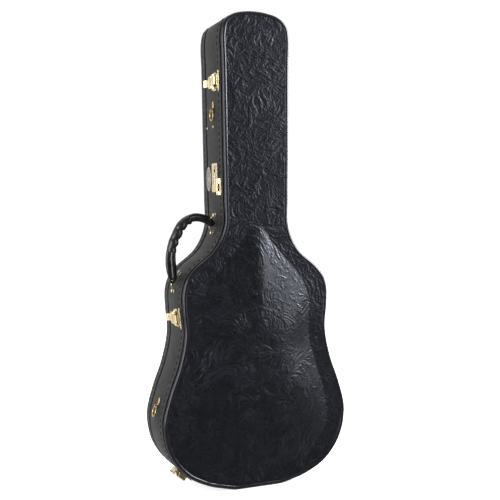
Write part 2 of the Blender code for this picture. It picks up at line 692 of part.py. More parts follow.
def make_hinges():
    direction, outward, foot = hinge_axis()
    reach = 18.0
    inner = 7.0
    base_leaf = [
        (-reach, 0), (-inner, 0), (-inner, 3.6), (inner, 3.6), (inner, 0), (reach, 0), (reach, 24), (-reach, 24),
    ]
    lid_leaf = [
        (-inner + 0.4, 0), (-inner + 0.4, -3.6), (-reach, -3.6), (-reach, -24), (reach, -24), (reach, -3.6),
        (inner - 0.4, -3.6), (inner - 0.4, 0),
    ]
    for i, height in enumerate(HINGE_Z):
        origin = foot + direction * ((height - foot.z) / direction.z)
        frame = local_frame(origin, -direction, outward)
        base = solid(f"hinge_base_leaf_{i + 1}", *prism(base_leaf, -3.5, -2.1), "gold plate", frame)
        for low, high in ((-reach, -inner), (inner, reach)):
            combine(base, prism(circle(KNUCKLE_R, 14), low, high, "x"), "UNION")
        combine(base, prism(circle(HINGE_BORE_R, 12), -reach - 2, reach + 2, "x"), "DIFFERENCE")
        lid = solid(f"hinge_lid_leaf_{i + 1}", *prism(lid_leaf, -3.5, -2.1), "gold plate", frame)
        combine(lid, prism(circle(KNUCKLE_R, 14), -inner + 0.4, inner - 0.4, "x"), "UNION")
        combine(lid, prism(circle(HINGE_BORE_R, 12), -reach - 2, reach + 2, "x"), "DIFFERENCE")
        pin = prism(circle(HINGE_PIN_R, 12), -reach - 0.6, reach + 0.6, "x")
        solid(f"hinge_pin_{i + 1}", *pin, "steel", frame)


def main():
    clear_scene()
    base_frame, base_lip = make_base()
    make_interior()
    make_lid()
    for place, distance in LATCH_AT.items():
        make_latch(place, distance, 1.0 if place == "waist" else FIT_GAP)
    make_lock(base_frame, base_lip)
    for place, distance in STRAP_RING_AT.items():
        make_strap_ring(place, distance)
    make_rivets_and_badge()
    make_handle()
    make_hinges()


main()
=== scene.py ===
import json
import math

import bmesh
import bpy
import numpy as np
from mathutils import Matrix, Vector, geometry, kdtree

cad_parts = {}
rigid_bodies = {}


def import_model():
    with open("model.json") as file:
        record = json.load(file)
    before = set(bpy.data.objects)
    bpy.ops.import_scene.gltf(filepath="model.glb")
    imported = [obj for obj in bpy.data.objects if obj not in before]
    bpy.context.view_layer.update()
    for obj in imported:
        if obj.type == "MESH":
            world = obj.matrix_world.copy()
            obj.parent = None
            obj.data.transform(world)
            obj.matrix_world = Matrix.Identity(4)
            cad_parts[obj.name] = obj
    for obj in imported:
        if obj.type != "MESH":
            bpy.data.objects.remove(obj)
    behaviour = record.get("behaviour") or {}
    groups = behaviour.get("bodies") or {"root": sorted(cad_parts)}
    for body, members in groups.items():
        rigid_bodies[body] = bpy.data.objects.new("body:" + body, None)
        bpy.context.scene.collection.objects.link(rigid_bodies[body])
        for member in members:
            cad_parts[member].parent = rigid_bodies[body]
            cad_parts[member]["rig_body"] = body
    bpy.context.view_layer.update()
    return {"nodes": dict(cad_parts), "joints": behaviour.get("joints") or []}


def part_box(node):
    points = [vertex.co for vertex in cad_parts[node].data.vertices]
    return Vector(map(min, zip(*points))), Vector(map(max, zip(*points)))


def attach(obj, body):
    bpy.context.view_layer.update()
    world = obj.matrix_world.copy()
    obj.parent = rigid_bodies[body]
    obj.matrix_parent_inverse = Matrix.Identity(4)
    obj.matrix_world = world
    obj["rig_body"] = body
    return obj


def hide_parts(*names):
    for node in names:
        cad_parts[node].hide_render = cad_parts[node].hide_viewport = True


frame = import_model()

MM = 0.001

# Driving dimensions, the same as the model's
FRONT_Y, SEAM_Y, BACK_Y = -72.0, -33.0, 71.5
SEAM_GAP = 0.15
MARGIN_Y = FRONT_Y + 2.0  # flat margin of the lid's front
ARCH = 26.0
ARCH_SLOPE = 0.8
ARCH_CENTRE_Z = 290.0
STITCH_ROW_Y = {"lid": -42.0, "base": 58.5}
STITCH_LENGTH, STITCH_PITCH, THREAD_RADIUS = 9.5, 14.5, 0.65
CREASE_DEPTH = 1.25  # height of a crease of value 1 on the lid
# The crease ridges are lightened in colour by this much, a painted highlight.
CREASE_PAINTED_HIGHLIGHT = 0.8  # how strongly a crease is lightened
WELT_INSET, WELT_HALF_WIDTH, WELT_HALF_HEIGHT = 1.7, 4.2, 1.2
# The beads are partly real piping and partly painted shade: their black stands in for the shade inside the
# grooves.
WELTS = {"front": ("lid", -59.2), "back": ("base", 41.0)}  # body and y of the black bead in each groove
SLEEVE_FROM, SLEEVE_TO = 0.27, 0.70  # the part of the handle that the gathered sleeve covers
WIRE_THICKENING = 0.6  # added to the radius of the handle's wire loops, which look thin at full size

CAMERA_AT, CAMERA_LENS = (-0.7546, -1.7899, 0.6097), 59.13  # metres, millimetres
CAMERA_TURN = (23.165, -1.883, -0.400)  # azimuth from +Y towards +X, elevation and roll in degrees

# Right half of the case's outline and of the arch's edge, bottom centre to top centre: (half width, height)
HALF_OUTLINE = [
    (0, 0), (54, 0), (88, 7), (123, 17), (174, 45), (214, 98), (227, 164), (212, 229), (189, 292),
    (175.5, 360), (179.5, 415), (180, 455), (171, 485), (151, 509.5), (104, 550), (80, 601), (79, 669),
    (81, 811), (83, 972), (84, 1037), (77, 1064), (55, 1081), (21, 1089), (0, 1090),
]
HALF_ARCH = [
    (0, 46), (60, 49), (118, 65), (160, 99), (178, 150), (172, 205), (148, 280), (130, 345), (132, 410),
    (128, 450), (108, 488), (70, 530), (35, 570), (17, 597), (0, 607),
]
# Centre line of the handle in its plane, upper end first: (x, z)
HANDLE_LINE = [
    (-86, 609), (-104, 619.5), (-128, 623.5), (-146, 618), (-163, 604), (-172, 588), (-182, 566), (-187, 545),
    (-188.5, 524), (-187, 507), (-185, 489), (-184, 479),
]


# Materials
def grey(value):
    return (value, value, value)


def map_range(tree, value, from_pair, to_pair):
    """The output of a node that maps one range of values to another."""
    node = tree.nodes.new("ShaderNodeMapRange")
    node.inputs["From Min"].default_value, node.inputs["From Max"].default_value = from_pair
    node.inputs["To Min"].default_value, node.inputs["To Max"].default_value = to_pair
    tree.links.new(value, node.inputs["Value"])
    return node.outputs["Result"]


def finish(name, dark, light, roughness, metallic=0.0, grain=600.0, bump=0.08, coat=0.0, sheen=0.0,
           mottle=35.0, painted_highlight_and_wear=None, shine=0.5, tint=(1.0, 1.0, 1.0)):
    """A Principled material whose colour wanders between two tones and whose surface has a fine grain.

    grain and mottle are noise scales per metre; roughness is a pair; the named attribute brightens what it
    marks, a painted highlight along the coverings' crease ridges and the bright raised metal of the badge;
    shine and tint are the strength and colour of the reflections.
    """
    material = bpy.data.materials.new(name)
    material.use_nodes = True
    tree = material.node_tree
    shader = tree.nodes["Principled BSDF"]
    for setting, value in (
        ("Metallic", metallic), ("Coat Weight", coat), ("Coat Roughness", 0.25), ("Sheen Weight", sheen),
        ("Sheen Roughness", 0.4), ("Specular IOR Level", shine), ("Specular Tint", (*tint, 1.0)),
    ):
        shader.inputs[setting].default_value = value
    place = tree.nodes.new("ShaderNodeTexCoord").outputs["Object"]

    def noise(scale, detail=3.0):
        node = tree.nodes.new("ShaderNodeTexNoise")
        node.inputs["Scale"].default_value = scale
        node.inputs["Detail"].default_value = detail
        tree.links.new(place, node.inputs["Vector"])
        return node.outputs["Fac"]

    tones = tree.nodes.new("ShaderNodeMix")
    tones.data_type = "RGBA"
    tones.inputs["A"].default_value = (*dark, 1.0)
    tones.inputs["B"].default_value = (*light, 1.0)
    factor = noise(mottle)
    # The attribute lifts the colour towards the light tone: a painted highlight on the coverings' crease
    # ridges, and the bright raised metal on the badge.
    if painted_highlight_and_wear:
        mark = tree.nodes.new("ShaderNodeAttribute")
        mark.attribute_name = painted_highlight_and_wear
        both = tree.nodes.new("ShaderNodeMath")
        both.operation = "MULTIPLY_ADD"
        both.inputs[1].default_value = 0.25
        tree.links.new(factor, both.inputs[0])
        tree.links.new(mark.outputs["Fac"], both.inputs[2])
        factor = both.outputs[0]
    tree.links.new(factor, tones.inputs["Factor"])
    tree.links.new(tones.outputs["Result"], shader.inputs["Base Color"])
    gloss = map_range(tree, noise(mottle * 2.6, 4.0), (0.3, 0.7), roughness)
    tree.links.new(gloss, shader.inputs["Roughness"])
    pebbles = tree.nodes.new("ShaderNodeTexVoronoi")
    pebbles.feature = "SMOOTH_F1"
    pebbles.inputs["Scale"].default_value = grain
    tree.links.new(place, pebbles.inputs["Vector"])
    relief = tree.nodes.new("ShaderNodeMath")
    relief.operation = "ADD"
    tree.links.new(pebbles.outputs["Distance"], relief.inputs[0])
    tree.links.new(noise(grain * 0.45, 5.0), relief.inputs[1])
    raised = tree.nodes.new("ShaderNodeBump")
    raised.inputs["Strength"].default_value = bump
    raised.inputs["Distance"].default_value = 0.6 * MM
    tree.links.new(relief.outputs[0], raised.inputs["Height"])
    tree.links.new(raised.outputs["Normal"], shader.inputs["Normal"])
    return material


FINISH = {
    # The covering's light tone shows mostly where the crease attribute is high, a painted highlight on the
    # crease ridges; the rest is random mottle.
    "crumpled": finish("crumpled_leatherette", (0.0030, 0.0033, 0.0042), (0.013, 0.0138, 0.0175),
                       (0.26, 0.36), grain=900, bump=0.08, painted_highlight_and_wear="crease", tint=(0.80, 0.84, 1.0)),
    "side": finish("side_leatherette", grey(0.013), (0.023, 0.023, 0.022), (0.42, 0.54),
                   grain=760, bump=0.22, shine=0.2),
    "strip": finish("stitched_strip", (0.012, 0.012, 0.013), (0.022, 0.022, 0.023), (0.34, 0.46),
                    grain=800, bump=0.2, shine=0.2),
    "roll": finish("rolled_edge", (0.005, 0.005, 0.007), (0.011, 0.011, 0.014), (0.20, 0.28),
                   grain=700, bump=0.07, tint=(0.88, 0.88, 1.0)),
    "thread": finish("thread", grey(0.009), grey(0.017), (0.5, 0.65), grain=1800, bump=0.5, shine=0.1),
    "pale thread": finish("pale_thread", grey(0.035), grey(0.06), (0.45, 0.6), grain=1800, bump=0.5),
    # Near black with no reflection at all: a piping bead made as dark as painted shade, so each groove reads
    # as a black line.
    "welt_and_groove_shade": finish("welt_and_groove_shade", grey(0.001), grey(0.003), (0.55, 0.7), grain=900, bump=0.2, shine=0.0),
    "handle": finish("handle_leather", (0.005, 0.005, 0.006), (0.013, 0.013, 0.014), (0.26, 0.38),
                     grain=650, bump=0.16, coat=0.15),
    "gold": finish("gold_plate", (0.88, 0.72, 0.42), (0.97, 0.87, 0.62), (0.24, 0.36), metallic=1.0,
                   grain=420, bump=0.035, mottle=60),
    "warm": finish("antique_gold", (0.72, 0.45, 0.14), (0.90, 0.66, 0.30), (0.20, 0.34), metallic=1.0,
                   grain=420, bump=0.05, mottle=80),
    "badge": finish("badge_metal", (0.12, 0.10, 0.085), (0.78, 0.72, 0.65), (0.26, 0.40), metallic=1.0,
                    grain=500, bump=0.06, mottle=120, painted_highlight_and_wear="crease"),
    "plush": finish("plush", (0.055, 0.008, 0.014), (0.11, 0.018, 0.028), (0.85, 0.98), grain=1500, bump=0.7,
                    sheen=0.8),
    "dial": finish("ivory_dial", (0.66, 0.62, 0.52), (0.78, 0.75, 0.66), (0.28, 0.42), grain=500, bump=0.04),
    "red": finish("red_mark", (0.75, 0.04, 0.02), (0.85, 0.08, 0.04), (0.4, 0.5), grain=500, bump=0.04),
    "ink": finish("ink_mark", grey(0.02), grey(0.04), (0.4, 0.5), grain=500, bump=0.04),
    "steel": finish("steel", grey(0.42), (0.62, 0.61, 0.60), (0.22, 0.36), metallic=1.0, grain=500,
                    bump=0.05, mottle=90),
}


# Mesh tools
def dress(mesh, name, look, body, sharp=None):
    """Gives a finished mesh its material, shading, object, body and material slot."""
    mesh.materials.append(FINISH[look])
    mesh.shade_smooth()
    if sharp is not None:
        mesh.set_sharp_from_angle(angle=math.radians(sharp))
    piece = bpy.data.objects.new(name, mesh)
    bpy.context.scene.collection.objects.link(piece)
    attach(piece, body)
    return piece


def build(name, points, faces, look, body, place=None, sharp=None):
    """A piece from points in millimetres, in a local frame if one is given."""
    mesh = bpy.data.meshes.new(name)
    scaled = np.asarray(points, float) * MM
    if place is not None:
        turn = np.array(place)
        scaled = scaled @ turn[:3, :3].T + turn[:3, 3]
    mesh.from_pydata(scaled.tolist(), [], faces)
    work = bmesh.new()
    work.from_mesh(mesh)
    bmesh.ops.recalc_face_normals(work, faces=work.faces)
    work.to_mesh(mesh)
    work.free()
    return dress(mesh, name, look, body, sharp)


def ring_faces(count, rings, closed=True, first=0):
    """Quads between rings of points; closed joins the last ring to the first."""
    faces = []
    for k in range(rings if closed else rings - 1):
        a, b = first + k * count, first + ((k + 1) % rings) * count
        faces += [(a + i, a + (i + 1) % count, b + (i + 1) % count, b + i) for i in range(count)]
    return faces


def rounded(corners, radius, steps=3):
    """A closed polygon with its corners rounded."""
    result = []
    count = len(corners)
    for i in range(count):
        before, here, after = (Vector(corners[(i + k) % count]) for k in (-1, 0, 1))
        back = min(radius, 0.45 * (before - here).length)
        ahead = min(radius, 0.45 * (after - here).length)
        start = here + (before - here).normalized() * back
        end = here + (after - here).normalized() * ahead
        for k in range(steps + 1):
            t = k / steps
            result.append(tuple(start.lerp(here, t).lerp(here.lerp(end, t), t)))
    return result


def round_edges(piece, width, segments, limit):
    """Rounds the edges that are sharper than limit degrees."""
    bevel = piece.modifiers.new("edges", "BEVEL")
    bevel.width = width * MM
    bevel.segments = segments
    bevel.limit_method = "ANGLE"
    bevel.angle_limit = math.radians(limit)
    bevel.use_clamp_overlap = True


def copy_of(node, look, width=0.35, segments=2):
    """A CAD node's shape with its edges rounded, standing for the node and riding on its body."""
    source = frame["nodes"][node]
    work = bmesh.new()
    work.from_mesh(source.data)
    bmesh.ops.remove_doubles(work, verts=work.verts, dist=2e-6)
    bmesh.ops.dissolve_limit(
        work, angle_limit=math.radians(1.0), verts=work.verts, edges=work.edges, use_dissolve_boundaries=False
    )
    mesh = bpy.data.meshes.new(f"{node}_finished")
    work.to_mesh(mesh)
    work.free()
    piece = dress(mesh, f"{node}_finished", look, source["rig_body"])
    if width:
        round_edges(piece, width, segments, 32.0)
    piece.modifiers.new("shading", "WEIGHTED_NORMAL")
    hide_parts(node)
    return piece


def dome(radius, height, count=20, rings=5, slot=0.0):
    """Points and faces of a round head standing on z = 0, with a driver slot of that depth along x."""
    points = [(0.0, 0.0, height - slot)]
    for k in range(1, rings + 1):
        angle = 0.5 * math.pi * k / rings
        for i in range(count):
            turn = 2 * math.pi * i / count
            x, y = radius * math.sin(angle) * math.cos(turn), radius * math.sin(angle) * math.sin(turn)
            dip = slot if abs(y) < 0.16 * radius else 0.0
            points.append((x, y, height * math.cos(angle) ** 0.8 - dip if k < rings else 0.0))
    faces = [(0, 1 + i, 1 + (i + 1) % count) for i in range(count)]
    faces += ring_faces(count, rings, closed=False, first=1)
    last = 1 + (rings - 1) * count
    faces.append(tuple(last + i for i in reversed(range(count))))
    return points, faces


def gathered(parts):
    """Several shapes, each with its 4x4 place in millimetres, as one list of points and faces."""
    points, faces = [], []
    for (some_points, some_faces), place in parts:
        start = len(points)
        turn = np.array(place)
        points += (np.asarray(some_points, float) @ turn[:3, :3].T + turn[:3, 3]).tolist()
        faces += [tuple(start + i for i in face) for face in some_faces]
    return points, faces


def joined(shapes):
    """Several shapes that are already in place, as one list of points and faces."""
    return gathered([(shape, Matrix.Identity(4)) for shape in shapes])


def at(x, y, z):
    return Matrix.Translation((x, y, z))


def axes(x_axis, y_axis, z_axis):
    """The turn that carries the world's axes onto these."""
    return Matrix((x_axis, y_axis, z_axis)).transposed().to_4x4()


def middle_of(node):
    """The middle of a CAD node's box, in millimetres."""
    low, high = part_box(node)
    return (low + high) / 2 / MM


def joint_named(name):
    return next(joint for joint in frame["joints"] if joint["name"] == name)


def prism(outline, low, high, along="z"):
    """A straight extrusion: along="z" reads the outline as (x, y), along="x" as (y, z)."""
    place = (lambda u, v, w: (u, v, w)) if along == "z" else (lambda u, v, w: (w, u, v))
    count = len(outline)
    points = [place(u, v, w) for w in (low, high) for u, v in outline]
    faces = [(i, (i + 1) % count, count + (i + 1) % count, count + i) for i in range(count)]
    return points, faces + [tuple(reversed(range(count))), tuple(range(count, 2 * count))]


def torus(radii, wire, around=64, sides=12):
    """A round wire bent to an oval in the plane z = 0."""
    points = []
    for i in range(around):
        turn = 2 * math.pi * i / around
        centre = Vector((radii[0] * math.cos(turn), radii[1] * math.sin(turn), 0))
        out = Vector((math.cos(turn) / radii[0], math.sin(turn) / radii[1], 0)).normalized()
        for j in range(sides):
            angle = 2 * math.pi * j / sides
            points.append(centre + out * wire * math.cos(angle) + Vector((0, 0, wire * math.sin(angle))))
    faces = []
    for i in range(around):
        a, b = i * sides, ((i + 1) % around) * sides
        faces += [(a + j, b + j, b + (j + 1) % sides, a + (j + 1) % sides) for j in range(sides)]
    return points, faces


def directions(line):
    """The direction of a line of points at each of them."""
    last = len(line) - 1
    return [(line[min(i + 1, last)] - line[max(i - 1, 0)]).normalized() for i in range(last + 1)]


def tube(line, sizes, sides=16, start=None):
    """A tube of changing radius along points in space, with rounded ends. sizes may be a function.

    A function gets the share of the way along the line and the angle around it from the start direction.
    """
    count = len(line)
    rings, ahead = [], directions(line)
    side = start or ahead[0].orthogonal()
    for i, centre in enumerate(line):
        side = (side - ahead[i] * side.dot(ahead[i])).normalized()
        other = ahead[i].cross(side)
        for j in range(sides):
            angle = 2 * math.pi * j / sides
            radius = sizes(i / (count - 1), angle) if callable(sizes) else sizes[i]
            rings.append(centre + (side * math.cos(angle) + other * math.sin(angle)) * radius)
    faces = ring_faces(sides, count, closed=False)
    faces += [tuple(reversed(range(sides))), tuple(range(len(rings) - sides, len(rings)))]
    return rings, faces


def smooth_curve(points, parts=24, mirrored=True):
    """Points of a centripetal Catmull-Rom curve through 2-D points.

    mirrored continues it across x = 0 at both ends.
    """
    nodes = [Vector(p) for p in points]
    if mirrored:
        ends = Vector((-nodes[1].x, nodes[1].y)), Vector((-nodes[-2].x, nodes[-2].y))
    else:
        ends = nodes[0] * 2 - nodes[1], nodes[-1] * 2 - nodes[-2]
    nodes = [ends[0]] + nodes + [ends[1]]
    curve = []
    for a, b, c, d in zip(nodes, nodes[1:], nodes[2:], nodes[3:]):
        t1 = math.sqrt((b - a).length)
        t2 = t1 + math.sqrt((c - b).length)
        t3 = t2 + math.sqrt((d - c).length)
        for k in range(parts):
            t = t1 + (t2 - t1) * k / parts
            p = a.lerp(b, t / t1)
            q = b.lerp(c, (t - t1) / (t2 - t1))
            r = c.lerp(d, (t - t2) / (t3 - t2))
            curve.append(p.lerp(q, t / t2).lerp(q.lerp(r, (t - t1) / (t3 - t1)), (t - t1) / (t2 - t1)))
    curve.append(nodes[-2])
    return curve


def even_points(curve, step):
    """Points an even distance apart along a curve, with their outward normals and distances."""
    path = np.array([tuple(p) for p in curve])
    lengths = np.concatenate([[0.0], np.cumsum(np.linalg.norm(np.diff(path, axis=0), axis=1))])
    count = int(round(lengths[-1] / step))
    where = (np.arange(count) + 0.5) * lengths[-1] / count
    places = np.column_stack([np.interp(where, lengths, path[:, k]) for k in (0, 1)])
    ahead = np.column_stack([np.interp(where + 1.0, lengths, path[:, k]) for k in (0, 1)])
    behind = np.column_stack([np.interp(where - 1.0, lengths, path[:, k]) for k in (0, 1)])
    tangent = ahead - behind
    tangent /= np.linalg.norm(tangent, axis=1)[:, None]
    return places, np.column_stack([tangent[:, 1], -tangent[:, 0]]), where


def whole_outline(half_points, step):
    """The closed outline from its right half: points and outward normals, anticlockwise from the front."""
    half = [Vector((p.x, max(p.y, half_points[0][1]))) for p in smooth_curve(half_points)]
    places, normals, _ = even_points(half, step)
    flip = np.array([-1.0, 1.0])
    return np.vstack([places, places[::-1] * flip]), np.vstack([normals, normals[::-1] * flip])


CASE, CASE_OUT = whole_outline(HALF_OUTLINE, 3.6)
ARCH_EDGE, _ = whole_outline(HALF_ARCH, 8.0)
RIM = len(CASE)


def case_ring(inset, y):
    moved = CASE - CASE_OUT * inset
    return np.column_stack([moved[:, 0], np.full(RIM, y), moved[:, 1]])


def band(name, section, look, body, node=None, wave=0.0, sharp=None):
    """A closed band around the case: its section is a loop of (inset, y).

    wave is how far its surface wanders in and out, as covering glued over wood does.
    """
    turn = np.arange(RIM) * 2 * math.pi / RIM
    wander = wave * (np.sin(23 * turn + 1.1) + 0.7 * np.sin(57 * turn) + 0.5 * np.sin(131 * turn + 0.4))
    points = []
    for k, (inset, y) in enumerate(section):
        moved = CASE - CASE_OUT * (inset + wander * math.sin(1.7 * k + 0.3))[:, None]
        points.append(np.column_stack([moved[:, 0], np.full(RIM, y), moved[:, 1]]))
    piece = build(name, np.vstack(points), ring_faces(RIM, len(section)), look, body, sharp=sharp)
    if node:
        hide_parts(node)
    return piece


# Crumpled covering
def soft_noise(rng, shape, wavelength):
    """Smooth random values with unit spread; wavelength is in cells."""
    kz, kx = np.meshgrid(np.fft.fftfreq(shape[0]), np.fft.fftfreq(shape[1]), indexing="ij")
    keep = np.exp(-((kx**2 + kz**2) * wavelength**2) * 2.0)
    field = np.fft.ifft2(np.fft.fft2(rng.standard_normal(shape)) * keep).real
    return (field - field.mean()) / field.std()


def cell_at(row, column, shape):
    """Indices of the cells that hold these points, kept inside the array."""
    return np.clip(row, 0, shape[0] - 1).astype(int), np.clip(column, 0, shape[1] - 1).astype(int)


def streaks(rng, shape, width, length, swirl):
    """Noise smeared along a swirling direction, as creases run in pressed leatherette."""
    grain = soft_noise(rng, shape, width) - soft_noise(rng, shape, width * 2.2) * 0.3
    heading = 1.4 * soft_noise(rng, shape, swirl) + 0.3 * soft_noise(rng, shape, swirl * 0.3)
    rows, columns = np.indices(shape).astype(float)
    total = grain.copy()
    for sign in (1, -1):
        row, column = rows.copy(), columns.copy()
        for _ in range(length):
            here = cell_at(row, column, shape)
            row += sign * np.sin(heading[here])
            column += sign * np.cos(heading[here])
            total += grain[cell_at(row, column, shape)]
    return (total - total.mean()) / total.std()


class Crumple:
    """Height of the creases, 0 to about 1.4, at places on the case's front or back."""

    def __init__(self, seed, cell=1.2):
        rng = np.random.default_rng(seed)
        self.cell = cell
        shape = (int(1110 / cell), int(480 / cell))
        broad = streaks(rng, shape, 3.0, 40, 60)
        fine = streaks(rng, shape, 2.0, 22, 36)
        patches = 0.5 + 0.5 * np.tanh(soft_noise(rng, shape, 40) + 0.35)
        ridge = np.clip(1.0 - np.abs(broad - 0.5) / 0.6, 0.0, 1.0) * patches
        thread = np.clip(1.0 - np.abs(fine - 0.3) / 0.6, 0.0, 1.0) * (1.1 - 0.5 * patches)
        height = np.arange(shape[0]) * cell
        calm = np.clip((height + 260) / 560, 0.75, 1.0)[:, None]
        self.values = (ridge + 0.6 * thread) * calm

    def __call__(self, x, z):
        values = self.values
        across = np.clip((x + 240) / self.cell, 0, values.shape[1] - 1.001)
        up = np.clip((z + 8) / self.cell, 0, values.shape[0] - 1.001)
        column, row = across.astype(int), up.astype(int)
        right, above = across - column, up - row
        lower = values[row, column] * (1 - right) + values[row, column + 1] * right
        upper = values[row + 1, column] * (1 - right) + values[row + 1, column + 1] * right
        return lower * (1 - above) + upper * above


def arch_height(x, z, shrink=0.0, rise=ARCH):
    """How far the arch stands over the flat margin at each point."""
    edge = np.unwrap(np.arctan2(ARCH_EDGE[:, 1] - ARCH_CENTRE_Z, ARCH_EDGE[:, 0]))
    reach = np.hypot(ARCH_EDGE[:, 0], ARCH_EDGE[:, 1] - ARCH_CENTRE_Z) - shrink
    order = np.argsort(edge)
    angle = np.arctan2(z - ARCH_CENTRE_Z, x)
    angle = np.where(angle < edge[order[0]], angle + 2 * math.pi, angle)
    radius = np.interp(angle, edge[order], reach[order], period=2 * math.pi)
    size = np.hypot(x, z - ARCH_CENTRE_Z) / radius
    share = np.clip((1.0 - size) / ARCH_SLOPE, 0.0, 1.0)
    foot = np.clip(share / 0.05, 0.0, 1.0)
    return rise * np.sin(0.5 * math.pi * share) * (0.35 + 0.65 * foot**0.6)


def field(boundary, spacing):
    """Triangles over the inside of a closed ring of (x, z) points."""
    tree = kdtree.KDTree(len(boundary))
    for i, (x, z) in enumerate(boundary):
        tree.insert((x, z, 0.0), i)
    tree.balance()
    half = len(boundary) // 2
    order = np.argsort(boundary[:half, 1])
    low, high = boundary[:, 1].min(), boundary[:, 1].max()
    inner = []
    for k, z in enumerate(np.arange(low + spacing, high - spacing * 0.5, spacing * 0.87)):
        width = np.interp(z, boundary[:half, 1][order], np.abs(boundary[:half, 0])[order])
        xs = np.arange(-width, width, spacing) + (0.5 * spacing if k % 2 else 0.0)
        inner += [(float(x), float(z)) for x in xs if abs(x) < width - 0.3 * spacing]
    inner = [p for p in inner if tree.find((*p, 0.0))[2] > 0.55 * spacing]
    points = [Vector(p) for p in boundary.tolist()] + [Vector(p) for p in inner]
    ring = list(range(len(boundary)))
    places, _, faces, *_ = geometry.delaunay_2d_cdt(points, [], [ring], 1, 1e-4, True)
    places = np.array([tuple(p) for p in places])
    middle = places[np.array(faces)].mean(axis=1)
    width = np.interp(middle[:, 1], boundary[:half, 1][order], np.abs(boundary[:half, 0])[order])
    kept = np.abs(middle[:, 0]) < width + 1e-3
    return places, [tuple(f) for f, inside in zip(faces, kept) if inside]


def mark_points(piece, values):
    """Stores a brightness per point that materials read: a painted highlight on the coverings' crease ridges,
    and the bright raised metal of the badge.
    """
    mark = piece.data.attributes.new("crease", "FLOAT", "POINT")
    mark.data.foreach_set("value", np.asarray(values, np.float32))


def two_sided(name, inset, spacing, front, back, look, body, node, crease=None):
    """A closed sheet between two height functions of (x, z), cut to the case's outline less inset."""
    edge = case_ring(inset, 0.0)[:, (0, 2)]
    fine, fine_faces = field(edge, spacing)
    rough, rough_faces = field(edge, 9.0)
    y_front, y_back = front(fine[:, 0], fine[:, 1]), back(rough[:, 0], rough[:, 1])
    points = np.vstack([
        np.column_stack([fine[:, 0], y_front, fine[:, 1]]),
        np.column_stack([rough[:, 0], y_back, rough[:, 1]]),
    ])
    start = len(fine)
    faces = fine_faces + [tuple(start + i for i in reversed(f)) for f in rough_faces]
    faces += [(i, (i + 1) % RIM, start + (i + 1) % RIM, start + i) for i in range(RIM)]
    piece = build(name, points, faces, look, body)
    # The crease heights on the front are also stored as colour: a painted highlight that lightens the crease
    # ridges.
    if crease is not None:
        values = np.zeros(len(points), np.float32)
        values[:start] = CREASE_PAINTED_HIGHLIGHT * crease(fine[:, 0], fine[:, 1])
        mark_points(piece, values)
    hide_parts(node)
    return piece


def make_front():
    crumple = Crumple(11)

    def front(x, z):
        return MARGIN_Y - arch_height(x, z) - CREASE_DEPTH * crumple(x, z)

    def back(x, z):
        return MARGIN_Y + 3.6 - arch_height(x, z, 3.0)

    two_sided("lid_covering", 9.0, 1.6, front, back, "crumpled", "lid", "lid_panel", crumple)


def make_back():
    crumple = Crumple(29)
    two_sided(
        "back_covering", 14.0, 2.6, lambda x, z: BACK_Y - 0.4 + 0.5 * crumple(x, z),
        lambda x, z: np.full(len(x), BACK_Y - 4.0), "crumpled", "base", "back_panel", crumple,
    )


# Walls
def make_walls():
    seam_front, seam_back = SEAM_Y - SEAM_GAP, SEAM_Y + SEAM_GAP
    lid_wall = [
        (0.0, seam_front), (0.0, -37.2), (0.35, -38.0), (0.35, -46.0), (0.0, -46.8), (0.0, -54.8),
        (2.0, -56.0), (2.2, -61.9), (5.0, -61.9), (5.0, seam_front),
    ]
    band("lid_wall", rounded(lid_wall, 0.7, 2), "side", "lid", "lid_frame", wave=0.03)
    roll = [
        (11.0, -62.3), (11.1, -68.6), (8.6, -71.4), (4.9, -71.9), (1.5, -69.7), (0.1, -66.6), (0.9, -63.4),
        (2.4, -62.3),
    ]
    band("lid_rolled_edge", rounded(roll, 3.0, 4), "roll", "lid", "lid_piping", wave=0.02)
    base_wall = [
        (0.0, seam_back), (0.0, 36.4), (2.2, 37.6), (2.3, 67.2), (5.0, 67.2), (5.0, seam_back),
    ]
    wall = band("base_wall", rounded(base_wall, 0.7, 2), "side", "base", "base_frame", wave=0.03)
    binding = [
        (2.1, 44.2), (0.1, 45.4), (-0.1, 47.5), (0.25, 54.6), (0.25, 62.4), (0.0, 66.8), (0.9, 70.0),
        (3.4, 71.5), (12.6, 71.5), (14.2, 70.6), (14.0, 69.9), (2.2, 69.9),
    ]
    band("back_binding_strip", rounded(binding, 0.9, 3), "strip", "base", "back_binding", wave=0.06)
    # A black bead in each groove: real piping, darkened to painted shade so the groove reads as a dark line.
    for name, (body, y) in WELTS.items():
        bead = [(WELT_INSET + WELT_HALF_HEIGHT * math.cos(a), y + WELT_HALF_WIDTH * math.sin(a))
                for a in arc(0, 360, 12)[:-1]]
        band(f"{name}_welt", bead, "welt_and_groove_shade", body)
    lip = [(5.6, -41.0), (5.6, 56.6), (8.1, 56.6), (8.1, -41.0)]
    inner_lip = band("lip_covering", rounded(lip, 1.0, 3), "plush", "base", "base_lip")
    for piece in (wall, inner_lip):
        cut_pocket(piece)


def joint_frame(name):
    """Frame in millimetres at a joint of the handle side: x up along the wall, y back, z out."""
    joint = joint_named(name)
    up, back = Vector(joint["axis"]), Vector((0, 1, 0))
    return Matrix.Translation(Vector(joint["pos_m"]) / MM) @ axes(up, back, up.cross(back))


def in_metres(place):
    result = place.copy()
    result.translation *= MM
    return result


LOCK = joint_frame("lock_dial_1_spin") @ at(-4.6, -18.0, 1.7)


def cut_pocket(piece):
    """Cuts the lock's pocket out of a wall."""
    outline = [(-18.6, 7.4), (30.6, 7.4), (30.6, 30.6), (-18.6, 30.6)]
    tool = build("pocket", *prism(outline, -16, 8), "steel", "base", in_metres(LOCK))
    cut = piece.modifiers.new("pocket", "BOOLEAN")
    cut.operation = "DIFFERENCE"
    cut.object = tool
    graph = bpy.context.evaluated_depsgraph_get()
    carved = bpy.data.meshes.new_from_object(piece.evaluated_get(graph))
    piece.modifiers.clear()
    piece.data = carved
    bpy.data.objects.remove(tool)


